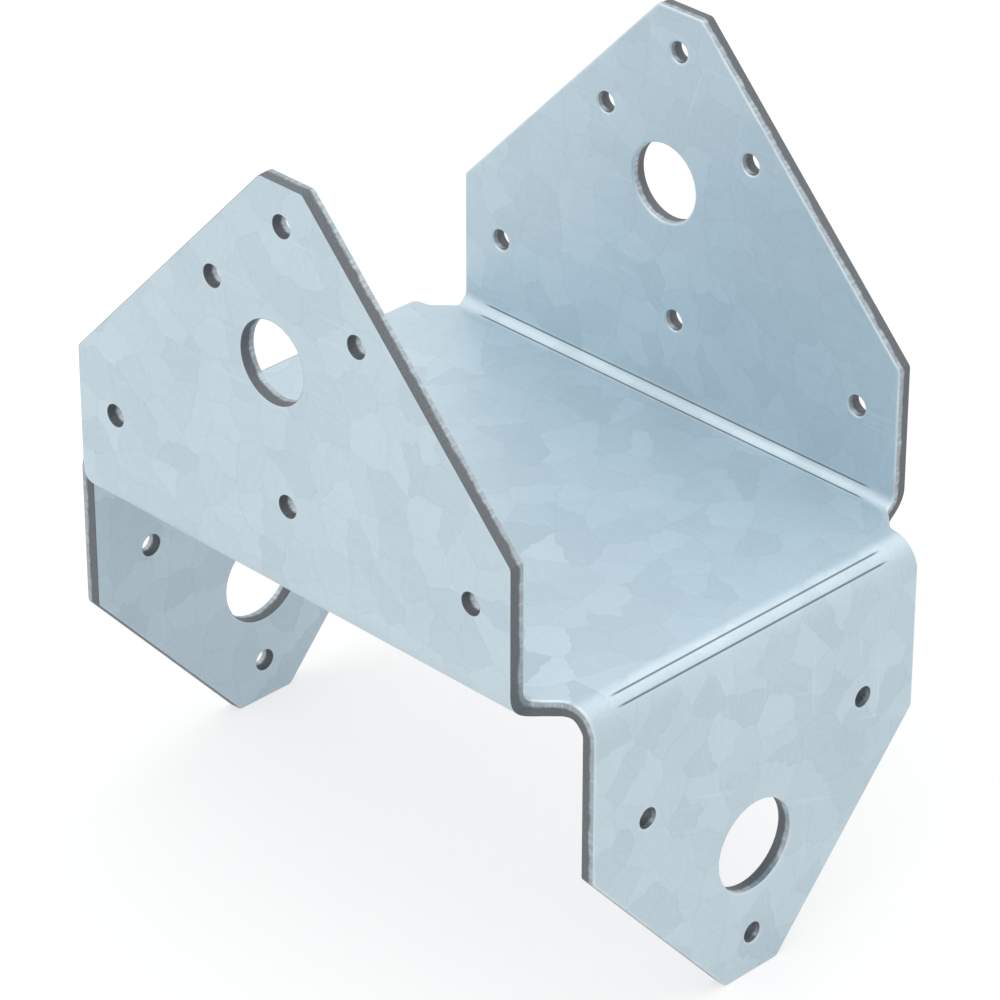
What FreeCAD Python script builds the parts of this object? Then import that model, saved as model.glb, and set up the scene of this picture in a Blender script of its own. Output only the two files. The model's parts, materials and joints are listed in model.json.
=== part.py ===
import FreeCAD, Part
import math
import os

from FreeCAD import Vector

# A post cap folded from one punched sheet. It joins the end of a square post to a beam that lies across it.
# X runs along the beam and Z up the post. The origin is the centre of the face that the post's end meets.

# Sheet, in millimetres
SHEET = 3.5
FOLD_INSIDE = 3.0
CORNER_ROUND = 1.5
EDGE_BREAK = 0.35

# Timber that it joins, and the room left beside it
POST_WIDTH = 139.7
POST_ROOM = 1.6
BEAM_WIDTH = 101.6
BEAM_ROOM = 3.2

# Bolts and nails, and the room left round them
BEAM_BOLT = 15.9
POST_BOLT = 19.0
BOLT_ROOM = 1.6
NAIL = 4.1
NAIL_ROOM = 0.5

# Upper pair of flanges, with heights counted up from the face that carries the beam
BEAM_FLANGE_WIDTH = 123.0
BEAM_FLANGE_HEIGHT = 89.0
BEAM_FLANGE_SHOULDER = 31.0
BEAM_FLANGE_TIP = 12.0
BEAM_ROW_HEIGHT = 19.0
BEAM_ROW_END_EDGE = 10.8
BEAM_TIP_NAIL_EDGE = 9.0
BEAM_SLOPE_NAIL_EDGE = 8.4
BEAM_SLOPE_NAIL_RUN = 29.3

# Place of the bolt hole in both upper flanges, along the beam from their middle
BEAM_BOLT_SHIFT = -3.5

# Lower pair of flanges, with heights counted down from the face that meets the post's end
POST_FLANGE_WIDTH = 92.0
POST_FLANGE_HEIGHT = 78.0
POST_FLANGE_SHOULDER = 35.0
POST_FLANGE_TIP = 15.0
POST_ROW_HEIGHT = 26.5
POST_ROW_END_EDGE = 15.0
POST_TIP_NAIL_EDGE = 9.5

# Corners of the plate, cut away on the slant so that folds don't meet, with some straight left by each fold
BEAM_FOLD_LAND = 0.5
POST_FOLD_LAND = 3.4
RELIEF_ROUND = 3.0

# Most of an edge that the rounds at its ends may use up between them
ROUND_SHARE = 0.9

BEAM_GAP = BEAM_WIDTH + BEAM_ROOM
POST_GAP = POST_WIDTH + POST_ROOM
NAIL_HOLE = NAIL + NAIL_ROOM
BEAM_BOLT_HOLE = BEAM_BOLT + BOLT_ROOM
POST_BOLT_HOLE = POST_BOLT + BOLT_ROOM


def corner_arc(last, corner, following, radius, last_share, following_share):
    """Start, middle and end of the arc that rounds a corner, as large as its edges' shares allow."""
    back = last - corner
    ahead = following - corner
    half_turn = (math.pi - back.getAngle(ahead)) / 2
    cut = min(radius * math.tan(half_turn), last_share * back.Length, following_share * ahead.Length)
    back.normalize()
    ahead.normalize()
    inward = (back + ahead).normalize()
    depth = cut / math.sin(half_turn) - cut / math.tan(half_turn)
    return corner + back * cut, corner + inward * depth, corner + ahead * cut


def outline(corners):
    """Closed wire of lines and arcs through (point, radius) corners. A radius of 0 is a sharp corner."""
    count = len(corners)
    points = [Vector(*point) for point, radius in corners]
    shares = [ROUND_SHARE / 2 if radius else ROUND_SHARE for point, radius in corners]
    stops = []
    for i, (point, radius) in enumerate(corners):
        stop = (points[i], None, points[i])
        if radius:
            following = (i + 1) % count
            around = (points[i - 1], points[i], points[following])
            stop = corner_arc(*around, radius, shares[i - 1], shares[following])
        stops.append(stop)
    edges = []
    for i, (start, middle, end) in enumerate(stops):
        if middle:
            edges.append(Part.Arc(start, middle, end).toShape())
        edges.append(Part.LineSegment(end, stops[(i + 1) % count][0]).toShape())
    return Part.Wire(edges)


def plate():
    """Flat plate between the four folds, each corner cut on the slant from one fold's end to the next."""
    beam_fold = BEAM_GAP / 2 - FOLD_INSIDE
    post_fold = POST_GAP / 2 - FOLD_INSIDE
    beam_end = BEAM_FLANGE_WIDTH / 2
    post_end = POST_FLANGE_WIDTH / 2
    quarter = [
        (beam_end, beam_fold, 0),
        (beam_end, beam_fold - BEAM_FOLD_LAND, RELIEF_ROUND),
        (post_fold - POST_FOLD_LAND, post_end, RELIEF_ROUND),
        (post_fold, post_end, 0),
    ]
    corners = []
    for x_side, y_side in ((1, 1), (1, -1), (-1, -1), (-1, 1)):
        run = quarter if x_side * y_side > 0 else reversed(quarter)
        corners += [((x * x_side, y * y_side, 0), radius) for x, y, radius in run]
    return Part.Face(outline(corners)).extrude(Vector(0, 0, SHEET))


def flange(gap, width, height, shoulder, tip):
    """One folded flange that stands up at +X from a plate whose seat is SHEET high: its fold and its leg."""
    inside = gap / 2
    outside = inside + SHEET
    fold_x = inside - FOLD_INSIDE
    fold_z = SHEET + FOLD_INSIDE
    outer_radius = FOLD_INSIDE + SHEET
    top = SHEET + height
    half_way = math.sqrt(0.5)
    y = -width / 2

    def arc(radius):
        low = Vector(fold_x, y, fold_z - radius)
        middle = Vector(fold_x + radius * half_way, y, fold_z - radius * half_way)
        high = Vector(fold_x + radius, y, fold_z)
        return Part.Arc(low, middle, high).toShape()

    section = Part.Wire([
        arc(outer_radius),
        Part.LineSegment(Vector(outside, y, fold_z), Vector(outside, y, top)).toShape(),
        Part.LineSegment(Vector(outside, y, top), Vector(inside, y, top)).toShape(),
        Part.LineSegment(Vector(inside, y, top), Vector(inside, y, fold_z)).toShape(),
        arc(FOLD_INSIDE),
        Part.LineSegment(Vector(fold_x, y, SHEET), Vector(fold_x, y, 0)).toShape(),
    ])
    strip = Part.Face(section).extrude(Vector(0, width, 0))
    corners = [
        ((0, -width / 2, -SHEET), 0),
        ((0, -width / 2, SHEET + shoulder), CORNER_ROUND),
        ((0, -tip / 2, top), CORNER_ROUND),
        ((0, tip / 2, top), CORNER_ROUND),
        ((0, width / 2, SHEET + shoulder), CORNER_ROUND),
        ((0, width / 2, -SHEET), 0),
    ]
    leg = Part.Face(outline(corners)).extrude(Vector(outside + SHEET, 0, 0))
    return strip.common(leg)


def punch(blank, gap, nails, bolt_hole, bolt_y):
    """A flange at +X with its nail holes, and its bolt hole half way from the lowest nail to the highest.

    Each nail is a place along the fold and a height above the seat. bolt_y is the bolt hole's place along it.
    """
    heights = [height for y, height in nails]
    holes = [(NAIL_HOLE, y, height) for y, height in nails]
    holes.append((bolt_hole, bolt_y, (min(heights) + max(heights)) / 2))
    punches = []
    for diameter, y, height in holes:
        start = Vector(gap / 2 - SHEET, y, SHEET + height)
        punches.append(Part.makeCylinder(diameter / 2, 3 * SHEET, start, Vector(1, 0, 0)))
    return blank.cut(punches)


def beam_flange(bolt_y):
    """Upper flange, with a nail at its tip, one by each sloped edge and a low row of three."""
    blank = flange(BEAM_GAP, BEAM_FLANGE_WIDTH, BEAM_FLANGE_HEIGHT, BEAM_FLANGE_SHOULDER, BEAM_FLANGE_TIP)
    across = (BEAM_FLANGE_WIDTH - BEAM_FLANGE_TIP) / 2
    down = BEAM_FLANGE_HEIGHT - BEAM_FLANGE_SHOULDER
    slope = math.hypot(across, down)
    pair_y = BEAM_FLANGE_TIP / 2 + (BEAM_SLOPE_NAIL_RUN * across - BEAM_SLOPE_NAIL_EDGE * down) / slope
    pair_drop = (BEAM_SLOPE_NAIL_RUN * down + BEAM_SLOPE_NAIL_EDGE * across) / slope
    row_y = BEAM_FLANGE_WIDTH / 2 - BEAM_ROW_END_EDGE
    nails = [(0, BEAM_FLANGE_HEIGHT - BEAM_TIP_NAIL_EDGE)]
    nails += [(y, BEAM_FLANGE_HEIGHT - pair_drop) for y in (-pair_y, pair_y)]
    nails += [(y, BEAM_ROW_HEIGHT) for y in (-row_y, 0, row_y)]
    return punch(blank, BEAM_GAP, nails, BEAM_BOLT_HOLE, bolt_y)


def post_flange():
    """Lower flange, made standing up and then turned over, with a nail at its tip and a row of two."""
    blank = flange(POST_GAP, POST_FLANGE_WIDTH, POST_FLANGE_HEIGHT, POST_FLANGE_SHOULDER, POST_FLANGE_TIP)
    row_y = POST_FLANGE_WIDTH / 2 - POST_ROW_END_EDGE
    nails = [(0, POST_FLANGE_HEIGHT - POST_TIP_NAIL_EDGE)]
    nails += [(y, POST_ROW_HEIGHT) for y in (-row_y, row_y)]
    made = punch(blank, POST_GAP, nails, POST_BOLT_HOLE, 0)
    made.rotate(Vector(0, 0, SHEET / 2), Vector(1, 0, 0), 180)
    return made


def smooth(face, other, edge):
    """True where two faces run on into each other across an edge, as at the start of a fold."""
    middle = edge.valueAt((edge.FirstParameter + edge.LastParameter) / 2)
    normals = [f.normalAt(*f.Surface.parameter(middle)) for f in (face, other)]
    return normals[0].dot(normals[1]) > 0.9


def upper_skin(sheet):
    """Faces of the side that was up when the blank was punched, from the beam's seat across the folds."""
    seat = max(sheet.Faces, key=lambda f: f.Area if abs(f.CenterOfMass.z - SHEET) < 1e-6 else 0)
    skin = [seat]
    for face in skin:
        for edge in face.Edges:
            for other in sheet.Faces:
                known = any(other.isSame(f) for f in skin)
                if not known and any(edge.isSame(e) for e in other.Edges) and smooth(face, other, edge):
                    skin.append(other)
    return skin


def drawn_in_edges(skin):
    """Edges of the skin's outline and holes: those that only one of its faces has."""
    edges = [edge for face in skin for edge in face.Edges]
    return [edge for edge in edges if sum(edge.isSame(other) for other in edges) == 1]


def post_cap():
    """The whole cap: a plate, two flanges up beside the beam and two down beside the post, as one sheet."""
    sheet = plate()
    sides = [
        (beam_flange(-BEAM_BOLT_SHIFT), 90),
        (beam_flange(BEAM_BOLT_SHIFT), 270),
        (post_flange(), 0),
        (post_flange(), 180),
    ]
    for side, angle in sides:
        side.rotate(Vector(0, 0, 0), Vector(0, 0, 1), angle)
        sheet = sheet.fuse(side)
    sheet = sheet.removeSplitter()
    return sheet.makeChamfer(EDGE_BREAK, drawn_in_edges(upper_skin(sheet)))


os.makedirs("parts", exist_ok=True)
cap = post_cap()
cap.exportStep("parts/post_cap.step")
box = cap.BoundBox
print("post_cap", cap.ShapeType, "solids", len(cap.Solids), "valid", cap.isValid())
print("volume mm3", round(cap.Volume, 1), "box", box)
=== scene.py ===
# %% [markdown]
# # A post cap
# A post cap is a steel bracket that ties the top of a timber post to the beam that lies across it. It is
# one flat blank, punched full of holes and folded four times: two flanges go up beside the beam, and two
# go down beside the post. This file makes it as it is made in the works, with a flat blank first and the
# folds after.
#
# The frame that is loaded here holds the solid model, in metres, with the post's axis along Z. Everything
# below is fitted to it.

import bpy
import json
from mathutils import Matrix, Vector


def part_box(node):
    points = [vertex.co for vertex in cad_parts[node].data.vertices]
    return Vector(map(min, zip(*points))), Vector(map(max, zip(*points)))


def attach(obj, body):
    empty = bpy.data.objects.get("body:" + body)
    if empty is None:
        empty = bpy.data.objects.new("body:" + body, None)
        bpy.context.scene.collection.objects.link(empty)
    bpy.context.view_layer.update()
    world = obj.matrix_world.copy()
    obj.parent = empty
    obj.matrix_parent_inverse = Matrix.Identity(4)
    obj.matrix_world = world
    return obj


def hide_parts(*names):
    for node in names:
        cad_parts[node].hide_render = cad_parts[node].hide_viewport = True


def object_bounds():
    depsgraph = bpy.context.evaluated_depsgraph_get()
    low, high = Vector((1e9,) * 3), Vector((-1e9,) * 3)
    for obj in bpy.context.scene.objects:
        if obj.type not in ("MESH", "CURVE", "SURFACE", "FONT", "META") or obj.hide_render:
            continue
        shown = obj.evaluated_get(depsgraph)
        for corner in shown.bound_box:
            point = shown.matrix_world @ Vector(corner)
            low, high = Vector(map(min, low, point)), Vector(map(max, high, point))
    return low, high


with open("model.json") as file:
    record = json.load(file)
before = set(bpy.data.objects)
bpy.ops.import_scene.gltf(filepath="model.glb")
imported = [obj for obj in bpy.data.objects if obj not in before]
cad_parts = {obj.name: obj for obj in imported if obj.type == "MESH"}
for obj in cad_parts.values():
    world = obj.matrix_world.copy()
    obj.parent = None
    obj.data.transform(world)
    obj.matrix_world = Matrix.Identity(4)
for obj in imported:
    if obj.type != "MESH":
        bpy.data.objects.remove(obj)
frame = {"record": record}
cad_low, cad_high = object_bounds()
print("solid model from", tuple(cad_low), "to", tuple(cad_high))

# %% Libraries
import json

import bpy
import numpy as np
from mathutils import Vector
from mathutils.geometry import delaunay_2d_cdt

print("Blender", bpy.app.version_string, "and numpy", np.__version__)

# %% [markdown]
# ## What sizes drive the shape
# The solid model already says where the outer faces are, and its record says where each hole is. Reading
# those keeps the two models the same size. Only what neither says is given here as a number: the fold
# radius, the outline of the flanges and how a press leaves a cut edge. All lengths are in millimetres
# until the mesh is written.

# %% Sizes
MM = 1000.0

mounts = {mount["name"]: mount for mount in frame["record"]["mounts"]}
low, high = (np.array(corner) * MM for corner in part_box("post_cap"))

SHEET = mounts["beam_seat"]["pos_m"][2] * MM
FOLD_INSIDE = 3.0
FOLD_MIDDLE = FOLD_INSIDE + SHEET / 2
FOLD_RUN = FOLD_MIDDLE * np.pi / 2

POST_FACE = high[0] - SHEET
BEAM_FACE = high[1] - SHEET
POST_FOLD = POST_FACE - FOLD_INSIDE
BEAM_FOLD = BEAM_FACE - FOLD_INSIDE

BEAM_FLANGE_WIDTH = 123.0
BEAM_FLANGE_TIP = 12.0
BEAM_SHOULDER_UP = 31.0
POST_FLANGE_WIDTH = 92.0
POST_FLANGE_TIP = 15.0
POST_SHOULDER_DOWN = 35.0
CORNER_ROUND = 1.5

RELIEF_RISE = 1.5
RELIEF_ROUND = 3.0

print("sheet", round(SHEET, 3), "mm")
print("post face at", round(POST_FACE, 3), "and beam face at", round(BEAM_FACE, 3))


# %% [markdown]
# ## Where a height lands on the flat blank
# A press brake bends sheet round a nose. The middle of the sheet keeps its length there, so the blank is
# as long as the folded part measured along that middle line: straight, then a quarter circle, then
# straight again. These two helpers unroll a height above the seat, or a depth below it, to a distance
# from the blank's centre.

# %% Unrolling
def along_beam_flange(z):
    """Distance on the blank of a height z on an upper flange: to the fold, round it and straight on."""
    return BEAM_FOLD + FOLD_RUN + z - (SHEET + FOLD_INSIDE)


def along_post_flange(z):
    """Distance on the blank of a height z on a lower flange, which runs down from its fold."""
    return POST_FOLD + FOLD_RUN - z - FOLD_INSIDE


BEAM_TIP = along_beam_flange(high[2])
POST_TIP = along_post_flange(low[2])
print("blank", round(2 * POST_TIP, 1), "by", round(2 * BEAM_TIP, 1), "mm")


# %% [markdown]
# ## The outline of the blank
# The blank is a cross with pointed arms. Its four quarters are alike, so one quarter is worked out and
# mirrored. Each corner could be left sharp and given a Bevel modifier, but a bevel on a face with
# twenty-two holes in it is slow and hard to steer. Here each corner is an arc from the start: the
# direction from the arc's centre swings evenly from one edge's normal to the next.

# %% Rounding a path
ARC_STEPS = 7


def rounded(corners, radii):
    """Points and outward normals of an open path whose inner corners are rounded, each with its own radius.

    At a corner, the centre sits along the line that halves its angle, at radius / sin(half the angle). The
    arc's points are centre + radius * direction, and the direction runs evenly between the tangent points.
    """
    back = corners[:-2] - corners[1:-1]
    ahead = corners[2:] - corners[1:-1]
    back = back / np.linalg.norm(back, axis=1, keepdims=True)
    ahead = ahead / np.linalg.norm(ahead, axis=1, keepdims=True)
    inward = back + ahead
    inward = inward / np.linalg.norm(inward, axis=1, keepdims=True)
    half = np.arccos(np.sum(back * inward, axis=1))[:, None]
    radius = np.array(radii)[:, None]
    centre = corners[1:-1] + inward * radius / np.sin(half)
    first = (corners[1:-1] + back * radius / np.tan(half) - centre) / radius
    last = (corners[1:-1] + ahead * radius / np.tan(half) - centre) / radius
    swing = (np.pi - 2 * half)[:, :, None]
    share = np.linspace(0, 1, ARC_STEPS)[None, :, None]
    blend = np.sin((1 - share) * swing) * first[:, None] + np.sin(share * swing) * last[:, None]
    direction = blend / np.sin(swing)
    arcs = centre[:, None] + radius[:, None] * direction
    turn = back[:, 0] * ahead[:, 1] - back[:, 1] * ahead[:, 0]
    normals = direction * np.sign(turn)[:, None, None]
    points = np.vstack([corners[:1], arcs.reshape(-1, 2), corners[-1:]])
    normals = normals.reshape(-1, 2)
    return points, np.vstack([normals[:1], normals, normals[-1:]])


beam_end = BEAM_FLANGE_WIDTH / 2
post_end = POST_FLANGE_WIDTH / 2
relief_start = BEAM_FOLD + RELIEF_RISE
quarter_corners = np.array([
    (0, BEAM_TIP),
    (BEAM_FLANGE_TIP / 2, BEAM_TIP),
    (beam_end, along_beam_flange(SHEET + BEAM_SHOULDER_UP)),
    (beam_end, relief_start),
    (beam_end + relief_start - post_end, post_end),
    (along_post_flange(-POST_SHOULDER_DOWN), post_end),
    (POST_TIP, POST_FLANGE_TIP / 2),
    (POST_TIP, 0),
])
corner_radii = [CORNER_ROUND, CORNER_ROUND, RELIEF_ROUND, RELIEF_ROUND, CORNER_ROUND, CORNER_ROUND]
quarter, quarter_normals = rounded(quarter_corners, corner_radii)
print("quarter outline", len(quarter), "points")

# %% [markdown]
# ## Stations along the outline
# The folds need their own points: wherever the outline crosses a fold, it must bend in fine steps with
# it. So the quarter is read as a function of the distance along it, at three sets of stations: the points
# it has, an even spacing, and the lines of each fold. Both coordinates only grow or only shrink along the
# quarter, so a line's station can be looked up from the coordinate.

# %% Stations
SPACING = 4.0
CLEARANCE = SPACING / 4
FOLD_STEPS = 14
SAME_POINT_DIGITS = 6

fold_lines = np.linspace(0, FOLD_RUN, FOLD_STEPS + 1)
along = np.concatenate([[0], np.cumsum(np.linalg.norm(np.diff(quarter, axis=0), axis=1))])
crossings = np.concatenate([
    np.interp(-(BEAM_FOLD + fold_lines), -quarter[:, 1], along),
    np.interp(POST_FOLD + fold_lines, quarter[:, 0], along),
])
needed = np.unique(np.round(np.concatenate([along, crossings]), SAME_POINT_DIGITS))
even = np.arange(SPACING / 2, along[-1], SPACING)
clear = np.min(np.abs(even[:, None] - needed[None, :]), axis=1) > CLEARANCE
stations = np.sort(np.concatenate([needed, even[clear]]))


def at_stations(values):
    """A quantity known at the quarter's points, read at every station by straight lines between them."""
    return np.stack([np.interp(stations, along, column) for column in values.T], axis=1)


def all_round(values):
    """Four mirrored quarters as one clockwise loop. Every second one is read backwards."""
    back = values[::-1]
    runs = [values * (1, 1), back * (1, -1), values * (-1, -1), back * (-1, 1)]
    return np.vstack([run[:-1] for run in runs])


outline = all_round(at_stations(quarter))
outline_normals = all_round(at_stations(quarter_normals))
outline_normals /= np.linalg.norm(outline_normals, axis=1, keepdims=True)
print("outline", len(outline), "points")


# %% [markdown]
# ## The holes
# The record lists the holes as places where nails and bolts go, in the folded part's own coordinates.
# Each is unrolled to the flat blank. A punched hole is a circle, and its "outward" direction, away from
# the metal, points to its centre.

# %% Holes from the record
SPACING_AXES = {"spacing_x_mm": {0: 1, 1: 0}, "spacing_y_mm": {0: 2, 1: 2}}
THROUGH_BOTH = 10 * SHEET


def hole_places(mount):
    """Centres in the folded part, as rows of x, y, z, and the radius of the holes that one mount names.

    A pattern has two holes, half their spacing from its middle. So has a bore that is long enough to go
    through both flanges of a pair, half its length from its middle.
    """
    centre = np.array(mount["pos_m"]) * MM
    across = int(np.argmax(np.abs(mount["axis"])))
    dims = mount["dims"]
    shift = np.zeros(3)
    if mount["kind"] == "bolt_pattern":
        name = next(key for key in dims if key.startswith("spacing"))
        shift[SPACING_AXES[name][across]] = dims[name] / 2
        return np.array([centre - shift, centre + shift]), dims["hole_r_mm"]
    if dims["length_mm"] > THROUGH_BOTH:
        shift[across] = dims["length_mm"] / 2
        return np.array([centre - shift, centre + shift]), dims["r_mm"]
    return centre[None, :], dims["r_mm"]


def unrolled(centres):
    """Where points of the flanges lie on the flat blank: their height is unrolled to the far coordinate."""
    x, y, z = centres.T
    on_beam = np.abs(y) > BEAM_FACE - SHEET
    u = np.where(on_beam, x, np.sign(x) * along_post_flange(z))
    v = np.where(on_beam, np.sign(y) * along_beam_flange(z), y)
    return np.stack([u, v], axis=1)


punched = [hole_places(m) for m in mounts.values() if m["kind"] in ("bolt_pattern", "bore")]
hole_centres = unrolled(np.vstack([centres for centres, radius in punched]))
hole_radii = np.concatenate([np.full(len(centres), radius) for centres, radius in punched])
print(len(hole_radii), "holes of radius", sorted(set(hole_radii.tolist())), "mm")

# %% [markdown]
# ## How a press leaves a cut edge
# Look at the edge of any punched steel: the sheet is drawn in and rounded where the punch entered, then
# there is a bright rubbed band, then a duller torn one that leans back to the die's size, and last a
# small broken corner. The profile below is that edge. Each row has how far it lies inside the nominal
# outline, how high it lies in the sheet, and which way it faces, as a share outward and a share upward.
# The profile is carried round the outline and round every hole, so that all of them match. Two more rows
# lie flat on the two faces, so that the shading of the rounded edge ends within a millimetre.

# %% Edge profile
LEAD = 1.2
DRAWN_WIDE = 0.6
DRAWN_DEEP = 0.35
RUBBED_SHARE = 0.42
TORN_BACK = 0.12
TORN_TOP_BACK = 0.3 * TORN_BACK
TORN_TOP_DROP = 0.25
TORN_LEAN = 0.08
CORNER_BREAK = 0.12
DRAWN_STEPS = 7
BREAK_STEPS = 4


def quarter_turn(steps):
    """Sine and cosine of evenly spaced angles from 0 to a quarter turn."""
    angle = np.linspace(0, np.pi / 2, steps)
    return np.sin(angle), np.cos(angle)


drawn_sine, drawn_cosine = quarter_turn(DRAWN_STEPS)
break_sine, break_cosine = quarter_turn(BREAK_STEPS)
rubbed_end = SHEET * (1 - RUBBED_SHARE)
profile_inset = np.concatenate([
    [LEAD],
    DRAWN_WIDE * (1 - drawn_sine),
    [0, TORN_TOP_BACK],
    TORN_BACK + CORNER_BREAK * (1 - break_cosine),
    [LEAD],
])
profile_height = np.concatenate([
    [SHEET],
    SHEET - DRAWN_DEEP * (1 - drawn_cosine),
    [rubbed_end, rubbed_end - TORN_TOP_DROP],
    CORNER_BREAK * (1 - break_sine),
    [0],
])
drawn_out = drawn_sine / DRAWN_WIDE
drawn_up = drawn_cosine / DRAWN_DEEP
profile_out = np.concatenate([[0], drawn_out, [1, 1], break_cosine, [0]])
profile_up = np.concatenate([[1], drawn_up, [0, -TORN_LEAN], -break_sine, [-1]])
profile_size = np.hypot(profile_out, profile_up)
profile_out /= profile_size
profile_up /= profile_size
ROWS = len(profile_inset)
print("edge profile", ROWS, "rows, drawn in", DRAWN_DEEP, "mm over", DRAWN_WIDE, "mm")


# %% [markdown]
# ## Folding
# Every point of the blank is given by two parameters, u along the beam and v across it, and its height in
# the sheet. One function folds them all. Past a fold line the sheet turns by the distance divided by the
# middle radius, up to a quarter turn, and then runs on straight. Its outer side lies on a wide arc and
# its inner side on a tight one.
#
# Thick sheet doesn't stay quite square at a fold's two ends: the crowded inner side swells out along the
# fold, and the stretched outer side draws in. The swell fades within a couple of millimetres of the end.

# %% Fold
END_SWELL = 0.2
END_FADE = 2.5
SLOPE_STEP = 1e-3


def swollen(along_fold, end, turned, inner):
    """Position along a fold with the swell at its ends: a squared sine round the fold, fading inward."""
    reach = np.exp(-np.maximum(end - np.abs(along_fold), 0) / END_FADE)
    arch = np.sin(np.pi * np.clip(turned / FOLD_RUN, 0, 1)) ** 2
    return along_fold + np.sign(along_fold) * END_SWELL * reach * arch * (2 * inner - 1)


def folded(u, v, height):
    """Folded position of blank points: x, y, z in millimetres, as the text above gives."""
    past_u = np.maximum(np.abs(u) - POST_FOLD, 0)
    past_v = np.maximum(np.abs(v) - BEAM_FOLD, 0)
    down = np.minimum(past_u / FOLD_MIDDLE, np.pi / 2)
    up = np.minimum(past_v / FOLD_MIDDLE, np.pi / 2)
    down_radius = FOLD_INSIDE + height
    up_radius = FOLD_INSIDE + SHEET - height
    level = height / SHEET
    x_flat = swollen(u, BEAM_FLANGE_WIDTH / 2, past_v, level)
    y_flat = swollen(v, POST_FLANGE_WIDTH / 2, past_u, 1 - level)
    x = np.where(past_u > 0, np.sign(u) * (POST_FOLD + down_radius * np.sin(down)), x_flat)
    y = np.where(past_v > 0, np.sign(v) * (BEAM_FOLD + up_radius * np.sin(up)), y_flat)
    drop = down_radius * (1 - np.cos(down)) + past_u - down * FOLD_MIDDLE
    rise = up_radius * (1 - np.cos(up)) + past_v - up * FOLD_MIDDLE
    return np.stack([x, y, height + rise - drop], axis=-1)


def facing(u, v, height, flat):
    """Normals of the flat blank turned with the fold.

    The three slopes of the fold, along u, v and height, come from small steps both ways. A normal goes over
    to the sum of its shares times the cross products of the other two slopes.
    """
    slope_u = folded(u + SLOPE_STEP, v, height) - folded(u - SLOPE_STEP, v, height)
    slope_v = folded(u, v + SLOPE_STEP, height) - folded(u, v - SLOPE_STEP, height)
    slope_h = folded(u, v, height + SLOPE_STEP) - folded(u, v, height - SLOPE_STEP)
    turned = flat[..., 0:1] * np.cross(slope_v, slope_h)
    turned += flat[..., 1:2] * np.cross(slope_h, slope_u)
    turned += flat[..., 2:3] * np.cross(slope_u, slope_v)
    return turned / np.linalg.norm(turned, axis=-1, keepdims=True)


print("each fold uses", round(FOLD_RUN, 2), "mm of the blank")

# %% [markdown]
# ## Carrying the profile round each loop
# A loop is a closed row of points with outward normals. The profile goes round it as a grid: one
# parameter is the place along the loop, the other the row of the profile. All loops, the outline and the
# holes, are treated alike, so their grids are stacked into one long list of points. Every loop runs with
# the metal on its right.

# %% Loops
FEWEST_HOLE_POINTS = 32
EIGHTH_POINTS_PER_MM = 1.5


def circle(centre, radius):
    """Points and normals of a punched circle, anticlockwise, about half a millimetre apart."""
    count = max(FEWEST_HOLE_POINTS, 8 * int(np.ceil(radius * EIGHTH_POINTS_PER_MM)))
    angle = np.arange(count) / count * 2 * np.pi
    ray = np.stack([np.cos(angle), np.sin(angle)], axis=1)
    return centre + radius * ray, -ray


loops = [(outline, outline_normals)]
loops += [circle(centre, radius) for centre, radius in zip(hole_centres, hole_radii)]


def carried(points, normals):
    """The profile carried round a loop: places, heights and flat normals, each a grid of loop by rows."""
    places = points[:, None] - normals[:, None] * profile_inset[None, :, None]
    heights = np.broadcast_to(profile_height, places.shape[:2])
    up = np.broadcast_to(profile_up, places.shape[:2])
    flat = np.concatenate([normals[:, None] * profile_out[None, :, None], up[..., None]], axis=2)
    return places, heights, flat


def grid_faces(count, start):
    """Corner numbers of the quads of a closed grid whose first point has number start."""
    here = np.arange(count)[:, None] * ROWS + np.arange(ROWS - 1)[None, :]
    ahead = (np.arange(count) + 1)[:, None] % count * ROWS + np.arange(ROWS - 1)[None, :]
    return start + np.stack([here, ahead, ahead + 1, here + 1], axis=2).reshape(-1, 4)


walls = [carried(*loop) for loop in loops]
wall_starts = np.cumsum([0] + [len(points) * ROWS for points, normals in loops])
wall_faces = np.vstack([grid_faces(len(loop[0]), start) for loop, start in zip(loops, wall_starts)])
wall_places = np.vstack([places.reshape(-1, 2) for places, heights, flat in walls])
wall_heights = np.concatenate([heights.reshape(-1) for places, heights, flat in walls])
wall_flat = np.vstack([flat.reshape(-1, 3) for places, heights, flat in walls])
print(len(loops), "loops,", len(wall_faces), "edge faces")

# %% [markdown]
# ## The two faces of the sheet
# Between the loops each face of the sheet is a net of triangles over a grid of u and v. The grid has the
# fold lines in it, so the folds come out round, and the points too near a loop are left out.
# Blender's Delaunay function joins grid and loops. It fills the holes too, and the even-odd rule then
# says which triangles are metal: from inside, a ray crosses the loops an odd number of times.

# %% Grid and triangles
GRID_GAP = SPACING / 5
MERGE_DISTANCE = 1e-6


def grid_lines(reach, fold):
    """Even lines over the blank plus the lines of the two folds that cross them, with none too close."""
    folds = np.concatenate([fold + fold_lines, -fold - fold_lines])
    plain = np.arange(-np.floor(reach / SPACING), np.floor(reach / SPACING) + 1) * SPACING
    apart = np.min(np.abs(plain[:, None] - folds[None, :]), axis=1) > CLEARANCE
    return np.sort(np.concatenate([folds, plain[apart]]))


def crossings_right(points, starts, ends):
    """How many loop edges a ray from each point along +u meets."""
    x, y = points[:, 0:1], points[:, 1:2]
    spans = (starts[None, :, 1] > y) != (ends[None, :, 1] > y)
    rise = np.where(ends[:, 1] == starts[:, 1], 1.0, ends[:, 1] - starts[:, 1])
    at = starts[None, :, 0] + (y - starts[None, :, 1]) / rise * (ends[:, 0] - starts[:, 0])
    return np.sum(spans & (x < at), axis=1)


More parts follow.
